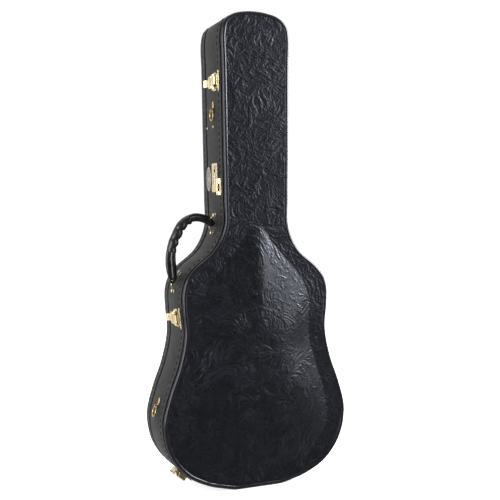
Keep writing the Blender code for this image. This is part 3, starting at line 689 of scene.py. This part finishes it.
def make_stitches():
    """Rows of thread around the lid's and the base's wall."""
    path = np.vstack([CASE, CASE[:1]])
    lengths = np.concatenate([[0.0], np.cumsum(np.linalg.norm(np.diff(path, axis=0), axis=1))])
    count = int(lengths[-1] / STITCH_PITCH)
    pitch = lengths[-1] / count
    for row, y in STITCH_ROW_Y.items():
        parts = []
        for i in range(count):
            line = []
            for t in np.linspace(-0.5, 0.5, 7):
                where = ((i + 0.5) * pitch + t * STITCH_LENGTH) % lengths[-1]
                x, z = (np.interp(where, lengths, path[:, k]) for k in (0, 1))
                near = int(np.argmin(np.abs(lengths[:-1] - where)))
                lift = 0.15 * (1 - (2 * t) ** 4) - (0.9 if abs(t) > 0.45 else 0.0)
                out = CASE_OUT[near] * lift
                line.append(Vector((x + out[0], y + 0.5 * t, max(z + out[1], THREAD_RADIUS + 0.1))))
            sizes = [THREAD_RADIUS * s for s in (0.55, 0.95, 1.0, 1.0, 1.0, 0.95, 0.55)]
            parts.append(tube(line, sizes, 8))
        build(f"stitches_{row}", *joined(parts), "thread" if row == "lid" else "pale thread", row)


# Latches
def make_latch(place):
    lever = joint_frame(f"latch_lever_{place}_pivot")
    hook = joint_frame(f"latch_hook_{place}_pivot")
    latch = lever @ at(0, -9.0, -5.2)
    copy_of(f"latch_plate_{place}", "gold", 0.3)
    copy_of(f"latch_keeper_{place}", "gold", 0.3)
    copy_of(f"latch_lever_{place}", "gold", 0.45, 3)
    shell = [
        (-26.6, -3.9), (-27.4, -2.2), (-27.6, 0.2), (-26.4, 2.3), (-23.6, 3.9), (-19.5, 4.4), (-15.5, 3.9),
        (-12.0, 2.2), (-8.5, 0.9), (-2.0, 0.9), (0.6, 0.8), (1.1, 0.0), (0.6, -0.9), (-1.0, -0.9),
        (-8.8, -0.7), (-12.8, 0.6), (-16.0, 2.2), (-19.5, 2.8), (-23.0, 2.4), (-25.4, 0.9), (-26.2, -0.6),
        (-25.7, -3.9),
    ]
    claw = build(f"latch_hook_{place}_finished", *prism(rounded(shell, 0.8, 3), -9.5, 9.5, "x"), "gold",
                 f"latch_hook_{place}", in_metres(hook), sharp=30)
    round_edges(claw, 0.35, 2, 50.0)
    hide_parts(f"latch_hook_{place}")
    pad = rounded([(10.5, -10.8), (23.2, -10.8), (23.2, 10.8), (10.5, 10.8)], 2.0, 4)
    inner = rounded([(11.7, -9.6), (22.0, -9.6), (22.0, 9.6), (11.7, 9.6)], 1.6, 4)
    raised = lofted([[(x, y, z) for y, x in line] for line, z in ((pad, 2.5), (pad, 3.5), (inner, 4.1))])
    circle = [(0.2 + 3.1 * math.cos(a), 0.3 + 3.1 * math.sin(a)) for a in arc(0, 360, 28)[:-1]]
    shapes = [raised, prism(circle, -13.6, 13.6, "x")]
    for k in range(3):
        ridge = [(26.6 + k * 2.0, 0.2), (27.8 + k * 2.0, 0.2), (27.2 + k * 2.0, 1.3)]
        shapes.append(prism(rounded(ridge, 0.3, 2), -7.4, 7.4, "x"))
    tab = [
        (22.0, 1.6), (29.0, 2.2), (33.5, 3.8), (37.2, 6.6), (38.6, 9.4), (40.0, 8.9), (38.9, 5.6),
        (35.0, 2.2), (30.0, 0.6), (22.0, 0.2),
    ]
    shapes.append(prism(rounded(tab, 0.7, 3), -8.2, 8.2, "x"))
    build(f"latch_face_{place}", *joined(shapes), "gold", f"latch_lever_{place}", in_metres(lever), sharp=35)
    heads = [(dome(1.7, 1.1), at(sign * 18.7, y, 1.3)) for sign in (-1, 1) for y in (5.4, 13.0)]
    heads += [(dome(1.3, 0.9), at(sign * 9.0, 32.6, 1.3)) for sign in (-1, 1)]
    build(f"latch_rivets_base_{place}", *gathered(heads), "gold", "base", in_metres(latch))
    heads = [(dome(2.3, 1.5), at(sign * 20.0, -13.2, 1.3)) for sign in (-1, 1)]
    heads += [(dome(1.2, 0.8), at(sign * 14.2, -5.4, 1.3)) for sign in (-1, 1)]
    build(f"latch_rivets_lid_{place}", *gathered(heads), "gold", "lid", in_metres(latch))


def arc(start, end, count):
    return [math.radians(start + (end - start) * i / count) for i in range(count + 1)]


def lofted(loops):
    """Points and faces through loops of equal length, closed at both ends."""
    count = len(loops[0])
    points = [p for loop in loops for p in loop]
    faces = ring_faces(count, len(loops), closed=False)
    return points, faces + [tuple(reversed(range(count))), tuple(range(len(points) - count, len(points)))]


# Lock
def make_lock():
    copy_of("lock_body", "gold", 0.35)
    copy_of("hasp_plate", "gold", 0.3)
    copy_of("hasp_flap", "gold", 0.35)
    copy_of("lock_slider", "gold", 0.3)
    copy_of("lock_dial_axle", "steel", 0.1)
    slider = LOCK @ at(23.4, 18.0, 0)
    ribs = []
    for k in range(5):
        x = -3.4 + 1.7 * k
        outline = [(x - 0.45, 4.7), (x + 0.45, 4.7), (x + 0.2, 5.5), (x - 0.2, 5.5)]
        points, faces = prism([(z, u) for u, z in outline], -4.0, 4.0, "x")
        ribs.append(([(p[2], p[0], p[1]) for p in points], faces))
    build("lock_slider_ribs", *joined(ribs), "gold", "lock_slider", in_metres(slider), sharp=30)
    frame_line = rounded([(-17.4, 9.6), (11.8, 9.6), (11.8, 26.4), (-17.4, 26.4)], 1.6, 4)
    inner_line = rounded([(-16.6, 10.4), (11.0, 10.4), (11.0, 25.6), (-16.6, 25.6)], 1.2, 4)
    count = len(frame_line)
    window = [[(x, y, z) for x, y in line] for line, z in
              ((frame_line, 3.1), (frame_line, 3.7), (inner_line, 3.7), (inner_line, 3.1))]
    build("lock_window_frame", [p for loop in window for p in loop], ring_faces(count, 4), "gold", "base",
          in_metres(LOCK), sharp=30)
    corners = ((30.4, 4.6), (30.4, 31.6), (-25.0, 31.8), (-30.0, 22.0))
    heads = [(dome(1.6, 0.9, slot=0.25), LOCK @ at(x, y, 3.1)) for x, y in corners]
    build("lock_rivets", *gathered(heads), "gold", "base")
    heads = [(dome(1.4, 0.8, slot=0.2), LOCK @ at(x, -11.0, 1.3)) for x in (-36.5, -23.5, -7.0)]
    build("hasp_rivets", *gathered(heads), "gold", "lid")
    flap = joint_frame("hasp_flap_hinge")
    leaf = [(-6.5, 6.0), (6.5, 6.0), (6.5, 26.0), (3.0, 29.6), (-3.0, 29.6), (-6.5, 26.0)]
    outer = rounded(leaf, 1.6, 4)
    inner = [(x * 0.86, 17.5 + (y - 17.5) * 0.9) for x, y in outer]
    emboss = lofted([[(x, y, 0.8) for x, y in outer], [(x, y, 1.3) for x, y in inner]])
    build("hasp_flap_emboss", *emboss, "gold", "hasp_flap", in_metres(flap), sharp=30)
    for i in range(3):
        make_dial(f"lock_dial_{i + 1}")


def make_dial(node):
    """A knurled wheel with the numbers 0 to 9 around it."""
    place = joint_frame(f"{node}_spin")
    radius, notches = 5.75, 10
    loops = []
    for x, inset in ((-2.5, 0.7), (-2.1, 0.15), (-1.9, 0.0), (1.9, 0.0), (2.1, 0.15), (2.5, 0.7)):
        loop = []
        for a in arc(0, 360, notches * 8)[:-1]:
            groove = 0.5 * max(0.0, math.cos(notches * a + math.pi)) ** 6
            r = radius - inset - groove
            loop.append((x, r * math.cos(a), r * math.sin(a)))
        loops.append(loop)
    wheel = build(f"{node}_wheel", *lofted(loops), "dial", node, in_metres(place), sharp=40)
    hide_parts(node)
    parts, red = [], []
    for number in range(10):
        text = bpy.data.curves.new("digit", "FONT")
        text.body = str(number)
        text.size = 3.8
        text.offset = 0.18
        text.extrude = 0.08
        text.align_x = "CENTER"
        text.align_y = "CENTER"
        text.resolution_u = 3
        holder = bpy.data.objects.new("digit", text)
        shape = bpy.data.meshes.new_from_object(holder)
        points = [tuple(vertex.co) for vertex in shape.vertices]
        faces = [tuple(polygon.vertices) for polygon in shape.polygons]
        bpy.data.objects.remove(holder)
        bpy.data.curves.remove(text)
        bpy.data.meshes.remove(shape)
        turn = Matrix.Rotation(2 * math.pi * number / 10, 4, "X")
        face = Matrix(((0, 1, 0, 0), (-1, 0, 0, 0), (0, 0, 1, radius + 0.02), (0, 0, 0, 1)))
        (red if number == 0 else parts).append(((points, faces), turn @ face))
    build(f"{node}_numbers", *gathered(parts), "ink", node, in_metres(place), sharp=30)
    build(f"{node}_zero", *gathered(red), "red", node, in_metres(place), sharp=30)


# Small hardware
def make_rings():
    back = Vector((0, 1, 0))
    for place in ("upper", "lower"):
        node = f"strap_ring_{place}"
        copy_of(f"strap_ring_plate_{place}", "warm", 0.3, 2)
        pivot = Vector(joint_named(f"{node}_swing")["pos_m"]) / MM
        up = -(middle_of(node) - pivot).normalized()
        eye = Matrix.Translation(pivot) @ axes(up, back, up.cross(back))
        ring_place = in_metres(eye @ at(-11.6, 0, 0))
        ring = build(f"{node}_wire", *torus((11.6, 10.0), 1.35), "warm", node, ring_place)
        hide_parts(node)
        head_place = eye @ at(12.5, 0, -5.2)
        heads = [(dome(2.5, 1.4, slot=0.3), head_place @ at(4.2, 0, 1.3)),
                 (dome(1.5, 0.8), head_place @ at(-3.4, 0, 1.3))]
        build(f"{node}_screw", *gathered(heads), "warm", "base")
    for name in ("front", "rear"):
        copy_of(f"side_rivet_{name}", "warm", 0.25, 3)


def make_badge():
    """An oval plate with a beaded rim and an engraved rosette between leaves."""
    centre = middle_of("badge") - LOCK.to_3x3().col[2] * 0.8
    place = Matrix.Translation(centre) @ LOCK.to_3x3().to_4x4()
    half_x, half_y, around, rings = 28.5, 14.5, 220, 44
    points, marks = [(0.0, 0.0, 0.0)], [0.0]
    for size, z in ((0.97, 0.0), (1.0, 0.35), (1.0, 1.2)):
        for i in range(around):
            a = 2 * math.pi * i / around
            points.append((half_x * size * math.cos(a), half_y * size * math.sin(a), z))
            marks.append(0.3)
    for k in range(rings):
        size = 1.0 - 0.995 * (k + 1) / rings
        for i in range(around):
            a = 2 * math.pi * i / around
            x, y = half_x * size * math.cos(a), half_y * size * math.sin(a)
            z, mark = badge_relief(x, y, size, a)
            points.append((x, y, z))
            marks.append(mark)
    faces = [(0, 1 + (i + 1) % around, 1 + i) for i in range(around)]
    faces += ring_faces(around, rings + 3, closed=False, first=1)
    faces.append(tuple(1 + (rings + 2) * around + i for i in range(around)))
    badge = build("badge_engraved", points, faces, "badge", "base", in_metres(place))
    mark_points(badge, marks)
    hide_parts("badge")


def badge_relief(x, y, size, angle):
    """Height over the wall and brightness of the badge's face."""
    if size > 0.93:
        return 1.5, 0.8
    if size > 0.84:
        bead = max(0.0, math.cos(46 * angle))
        return 1.0 + 0.5 * bead, bead
    if size > 0.80:
        return 1.45, 0.8
    radius = math.hypot(x * 0.95, y)
    if radius < 7.0:
        petals = abs(math.cos(4 * math.atan2(y, x)))
        line = 0.5 + 0.5 * math.cos(radius * 2.4)
        height = 0.55 * petals * (1 - radius / 9) + 0.2 * line
    else:
        sweep = math.sin(0.75 * abs(x) + 2.2 * math.sin(0.42 * y * (1 if x > 0 else -1)))
        vein = math.cos(1.25 * y + 0.5 * abs(x))
        height = 0.35 * max(0.0, sweep) + 0.25 * max(0.0, vein)
    return 1.0 + height, 1.6 * height


def make_hinges():
    """Leaves and pins of the three hinges, with their screws."""
    along = Vector(joint_named("lid_hinge")["axis"])
    turn = axes(along, Vector((0, 1, 0)), Vector((along.z, 0, -along.x)))
    screws = {"base": [], "lid": []}
    for i in (1, 2, 3):
        copy_of(f"hinge_base_leaf_{i}", "gold", 0.25)
        copy_of(f"hinge_lid_leaf_{i}", "gold", 0.25)
        copy_of(f"hinge_pin_{i}", "steel", 0.2)
        middle = middle_of(f"hinge_pin_{i}")
        for body, sign in (("base", 1), ("lid", -1)):
            for x, y in ((-12.5, 10.0), (12.5, 10.0), (0.0, 18.0)):
                place = Matrix.Translation(middle) @ turn @ at(x, sign * y, -2.2)
                screws[body].append((dome(2.2, 1.0, slot=0.3), place))
    for body, heads in screws.items():
        build(f"hinge_screws_{body}", *gathered(heads), "gold", body)


# Handle
def make_handle():
    """Two padded leather cords, wrapped by a gathered sleeve in the middle, on gold wire loops."""
    plane_y = joint_named("handle_swing")["pos_m"][1] / MM
    path, _, where = even_points(smooth_curve(HANDLE_LINE, 16, mirrored=False), 1.6)
    centre = [Vector((x, plane_y, z)) for x, z in path]
    ahead = directions(centre)
    across = Vector((0, 1, 0))
    outward = [a.cross(across) * -1.0 for a in ahead]
    if outward[len(outward) // 2].x > 0:
        outward = [-o for o in outward]
    share = where / where[-1]
    # How far each cord lies from the centre line, the angle it has turned round it, and its radius
    spread = np.interp(share, [0, 0.08, 0.3, 0.62, 0.72, 0.84, 0.95, 1.0],
                       [4.8, 5.4, 3.9, 3.9, 5.2, 6.1, 5.0, 4.4])
    turn = np.interp(share, [0, 0.25, 0.62, 0.75, 1.0], [0.95, 0.8, 0.35, 0.1, 0.25])
    thick = {
        1: np.interp(share, [0, 0.02, 0.3, 0.6, 0.74, 0.9, 1.0], [5.6, 7.2, 6.0, 5.8, 5.4, 5.2, 3.6]),
        -1: np.interp(share, [0, 0.02, 0.3, 0.6, 0.8, 0.97, 1.0], [5.6, 7.2, 6.0, 6.0, 7.2, 7.0, 5.0]),
    }
    for side, label in ((1, "outer"), (-1, "inner")):
        line = []
        for i, middle in enumerate(centre):
            shift = outward[i] * math.cos(turn[i]) + across * math.sin(turn[i])
            line.append(middle + shift * side * float(spread[i]))
        sizes = thick[side]

        def radius(t, angle, sizes=sizes, side=side):
            base = float(np.interp(t, share, sizes))
            pucker = 0.10 * math.sin(46 * t + 2 * angle) + 0.06 * math.sin(91 * t - 2 * angle + side)
            seam = 0.5 * math.exp(-((angle - 4.2) / 0.22) ** 2)
            return base + pucker - seam

        cord = build(f"handle_cord_{label}", *tube(line, radius, 28), "handle", "handle")
        if label == "outer":
            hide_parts("handle_grip")
    make_sleeve(centre, share, outward)
    make_handle_ends(centre, ahead)


def make_sleeve(centre, share, outward):
    """The leather gathered around the middle of both cords, pulled in by its wraps."""
    first, last = (int(np.searchsorted(share, part)) for part in (SLEEVE_FROM, SLEEVE_TO))

    def radius(t, angle):
        inside = 0.5 - 0.5 * math.cos(angle)
        phase = 4.1 * t + 0.24 * math.sin(angle) + 0.05 * math.sin(17 * t)
        lump = abs(math.cos(math.pi * phase)) ** 0.65
        pleats = math.sin(2 * math.pi * 11.0 * t + 5.0 * math.sin(angle) + 2.0 * math.sin(9 * t))
        edge = min(1.0, 10 * t, 10 * (1 - t))
        return 9.9 + 0.5 * lump + inside * (4.0 * lump - 1.2) + 0.14 * pleats * inside - 0.9 * (1 - edge)

    sleeve = build("handle_sleeve", *tube(centre[first:last], radius, 48, outward[first]), "handle", "handle")


def make_handle_ends(centre, ahead):
    """Leather loops over the wires, the wires themselves and their posts."""
    across = Vector((0, 1, 0))
    quarter = Matrix.Rotation(math.pi / 2, 4, "X")
    for eye, out, place in ((centre[0], -ahead[0], "upper"), (centre[-1], ahead[-1], "lower")):
        turn = Matrix.Translation(eye - out) @ axes(out, across, out.cross(across)) @ quarter
        build(f"handle_eye_{place}", *torus((5.0, 5.0), 3.1, 40, 14), "handle", "handle", in_metres(turn))
        wire = copy_of(f"handle_loop_{place}", "gold", 0.0)
        thicker = wire.modifiers.new("thicker", "DISPLACE")
        thicker.strength = WIRE_THICKENING * MM
        thicker.mid_level = 0.0
    for number in (1, 2, 3, 4):
        copy_of(f"handle_post_{number}", "gold", 0.2)
        middle = middle_of(f"handle_post_{number}")
        near = int(np.argmin(np.hypot(CASE[:, 0] - middle.x, CASE[:, 1] - middle.z)))
        away = Vector((CASE_OUT[near][0], 0, CASE_OUT[near][1]))
        foot = Vector((CASE[near][0], middle.y, CASE[near][1])) + away * 5.4
        place = Matrix.Translation(foot) @ axes(across.cross(away), across, away)
        points, faces = dome(3.4, 2.4, 28, 7)
        head = [(x * 1.3, y, z) for x, y, z in points]
        build(f"post_head_{number}", head, faces, "gold", "base", in_metres(place))


# Interior
def puffed(name, node, voxel, frames, cap):
    """A pad: the node's solid remeshed and swollen by cloth simulation, standing for the node.

    voxel and cap, how far a point may move, are in millimetres.
    """
    source = frame["nodes"][node]
    mesh = source.data.copy()
    mesh.materials.clear()
    piece = dress(mesh, name, "plush", source["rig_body"])
    remesh = piece.modifiers.new("remesh", "REMESH")
    remesh.mode = "VOXEL"
    remesh.voxel_size = voxel * MM
    settle(piece)
    rest = np.array([v.co for v in piece.data.vertices])
    cloth = piece.modifiers.new("cloth", "CLOTH")
    cloth.settings.use_pressure = True
    cloth.settings.uniform_pressure_force = 4.0
    cloth.settings.effector_weights.gravity = 0.0
    cloth.point_cache.frame_end = frames
    scene = bpy.context.scene
    for number in range(1, frames + 1):
        scene.frame_set(number)
    settle(piece)
    scene.frame_set(1)
    moved = np.array([v.co for v in piece.data.vertices])
    step = moved - rest
    size = np.linalg.norm(step, axis=1)[:, None]
    limited = rest + step * np.minimum(1.0, cap * MM / np.maximum(size, 1e-9))
    piece.data.vertices.foreach_set("co", limited.astype(np.float32).ravel())
    smooth = piece.modifiers.new("smooth", "SUBSURF")
    smooth.levels = 1
    smooth.render_levels = 1
    settle(piece)
    piece.data.shade_smooth()
    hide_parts(node)
    return piece


def settle(piece):
    """Applies a piece's modifiers to its mesh."""
    graph = bpy.context.evaluated_depsgraph_get()
    done = bpy.data.meshes.new_from_object(piece.evaluated_get(graph))
    piece.modifiers.clear()
    piece.data = done


def make_interior():
    pad = [
        (8.5, -28.0), (8.5, 56.6), (19.0, 56.6), (20.3, 40.0), (20.6, 15.0), (20.3, -10.0), (18.0, -25.5),
        (12.0, -29.5),
    ]
    side = band("side_pad", rounded(pad, 5.0, 4), "plush", "base", "side_padding", wave=0.12)
    quilt = Crumple(5, cell=3.0)
    floor = two_sided(
        "floor_pad", 5.6, 8.0, lambda x, z: 57.2 + 0.8 * quilt(x, z), lambda x, z: np.full(len(x), 67.0),
        "plush", "base", "floor_padding",
    )
    lining = [(12.0, -65.4), (11.6, -62.0), (5.5, -62.0), (5.5, -42.0), (8.4, -42.0), (8.4, -58.0)]
    outer, inner = case_ring(*lining[0])[:, (0, 2)], case_ring(*lining[-1])[:, (0, 2)]
    front, front_faces = field(outer, 9.0)
    rear, rear_faces = field(inner, 7.0)
    puff = Crumple(7, cell=3.0)
    y_front = -65.4 - arch_height(front[:, 0], front[:, 1], 3.0)
    y_rear = -58.0 - arch_height(rear[:, 0], rear[:, 1], 8.0, ARCH - 4.0) + 0.8 * puff(rear[:, 0], rear[:, 1])
    points = [
        np.column_stack([front[:, 0], y_front, front[:, 1]]),
        np.column_stack([rear[:, 0], y_rear, rear[:, 1]]),
    ]
    start = len(front)
    faces = list(front_faces) + [tuple(start + i for i in reversed(f)) for f in rear_faces]
    first = start + len(rear)
    rings = [case_ring(*s) for s in lining[1:-1]]
    chain = [0] + [first + k * RIM for k in range(len(rings))] + [start]
    for a, b in zip(chain, chain[1:]):
        faces += [(a + i, a + (i + 1) % RIM, b + (i + 1) % RIM, b + i) for i in range(RIM)]
    cover = build("lid_lining_plush", np.vstack(points + rings), faces, "plush", "lid", sharp=60)
    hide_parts("lid_lining")
    puffed("neck_rest_pad", "neck_cradle", voxel=4.0, frames=20, cap=3.0)
    copy_of("accessory_box", "plush", 1.0, 3)
    copy_of("accessory_lid", "plush", 0.9, 3)
    copy_of("accessory_tab", "strip", 0.4, 2)


# Studio
def make_studio():
    """A white backdrop that is bright behind the case and dim in front, a pale floor and five soft lights."""
    world = bpy.data.worlds.new("studio")
    bpy.context.scene.world = world
    world.use_nodes = True
    tree = world.node_tree
    tree.nodes.clear()
    output = tree.nodes.new("ShaderNodeOutputWorld")
    shade = tree.nodes.new("ShaderNodeBackground")
    white = tree.nodes.new("ShaderNodeBackground")
    white.inputs["Color"].default_value = (1.0, 1.0, 1.0, 1.0)
    white.inputs["Strength"].default_value = 1.05
    direction = tree.nodes.new("ShaderNodeTexCoord").outputs["Generated"]
    split = tree.nodes.new("ShaderNodeSeparateXYZ")
    tree.links.new(direction, split.inputs[0])
    strength = map_range(tree, split.outputs["Y"], (-0.75, 0.5), (0.05, 1.0))
    tree.links.new(strength, shade.inputs["Strength"])
    seen = tree.nodes.new("ShaderNodeLightPath").outputs["Is Camera Ray"]
    mix = tree.nodes.new("ShaderNodeMixShader")
    tree.links.new(seen, mix.inputs[0])
    tree.links.new(shade.outputs[0], mix.inputs[1])
    tree.links.new(white.outputs[0], mix.inputs[2])
    tree.links.new(mix.outputs[0], output.inputs["Surface"])

    floor_mesh = bpy.data.meshes.new("studio_floor")
    reach = 14.0
    corners = [(-reach, -reach, 0), (reach, -reach, 0), (reach, reach, 0), (-reach, reach, 0)]
    floor_mesh.from_pydata(corners, [], [(0, 1, 2, 3)])
    paper = bpy.data.materials.new("paper")
    paper.use_nodes = True
    shader = paper.node_tree.nodes["Principled BSDF"]
    shader.inputs["Base Color"].default_value = (0.86, 0.86, 0.86, 1.0)
    shader.inputs["Roughness"].default_value = 0.7
    shader.inputs["Specular IOR Level"].default_value = 0.2
    shader.inputs["Emission Color"].default_value = (1.0, 1.0, 1.0, 1.0)
    shader.inputs["Emission Strength"].default_value = 0.75
    floor_mesh.materials.append(paper)
    floor = bpy.data.objects.new("studio_floor", floor_mesh)
    bpy.context.scene.collection.objects.link(floor)
    floor.visible_glossy = False

    # Name, place, what it faces, its width and height, and its power
    for name, place, target, size, power in (
        ("right_softbox", (2.6, -0.7, 2.0), (0.0, 0.0, 0.5), (1.5, 1.9), 190.0),
        ("right_strip", (2.3, 0.9, 0.8), (0.0, 0.0, 0.6), (0.5, 2.0), 30.0),
        ("overhead", (0.0, 0.6, 3.2), (0.0, 0.0, 0.0), (3.0, 3.0), 30.0),
        ("front_softbox", (2.0, -1.9, 1.3), (0.0, 0.0, 0.6), (1.1, 2.2), 25.0),
        ("left_softbox", (-2.6, -1.1, 0.9), (0.0, 0.0, 0.6), (1.9, 2.2), 70.0),
    ):
        light = bpy.data.lights.new(name, "AREA")
        light.shape = "RECTANGLE"
        light.size, light.size_y = size
        light.energy = power
        lamp = bpy.data.objects.new(name, light)
        lamp.location = place
        lamp.rotation_euler = (Vector(target) - Vector(place)).to_track_quat("-Z", "Y").to_euler()
        bpy.context.scene.collection.objects.link(lamp)

    bpy.context.scene.view_settings.view_transform = "Standard"


def make_camera():
    azimuth, elevation, roll = (math.radians(angle) for angle in CAMERA_TURN)
    level_ahead = Vector((math.sin(azimuth), math.cos(azimuth), 0.0)) * math.cos(elevation)
    ahead = level_ahead + Vector((0.0, 0.0, math.sin(elevation)))
    lens = bpy.data.cameras.new("camera")
    lens.lens = CAMERA_LENS
    lens.sensor_width = 36.0
    camera = bpy.data.objects.new("camera", lens)
    camera.location = CAMERA_AT
    level = ahead.to_track_quat("-Z", "Y").to_matrix()
    camera.rotation_euler = (level @ Matrix.Rotation(roll, 3, "Z")).to_euler()
    bpy.context.scene.collection.objects.link(camera)
    bpy.context.scene.camera = camera


make_camera()
make_studio()
make_front()
make_back()
make_walls()
make_stitches()
for latch_place in ("neck", "waist", "lower"):
    make_latch(latch_place)
make_lock()
make_rings()
make_badge()
make_hinges()
make_handle()
make_interior()
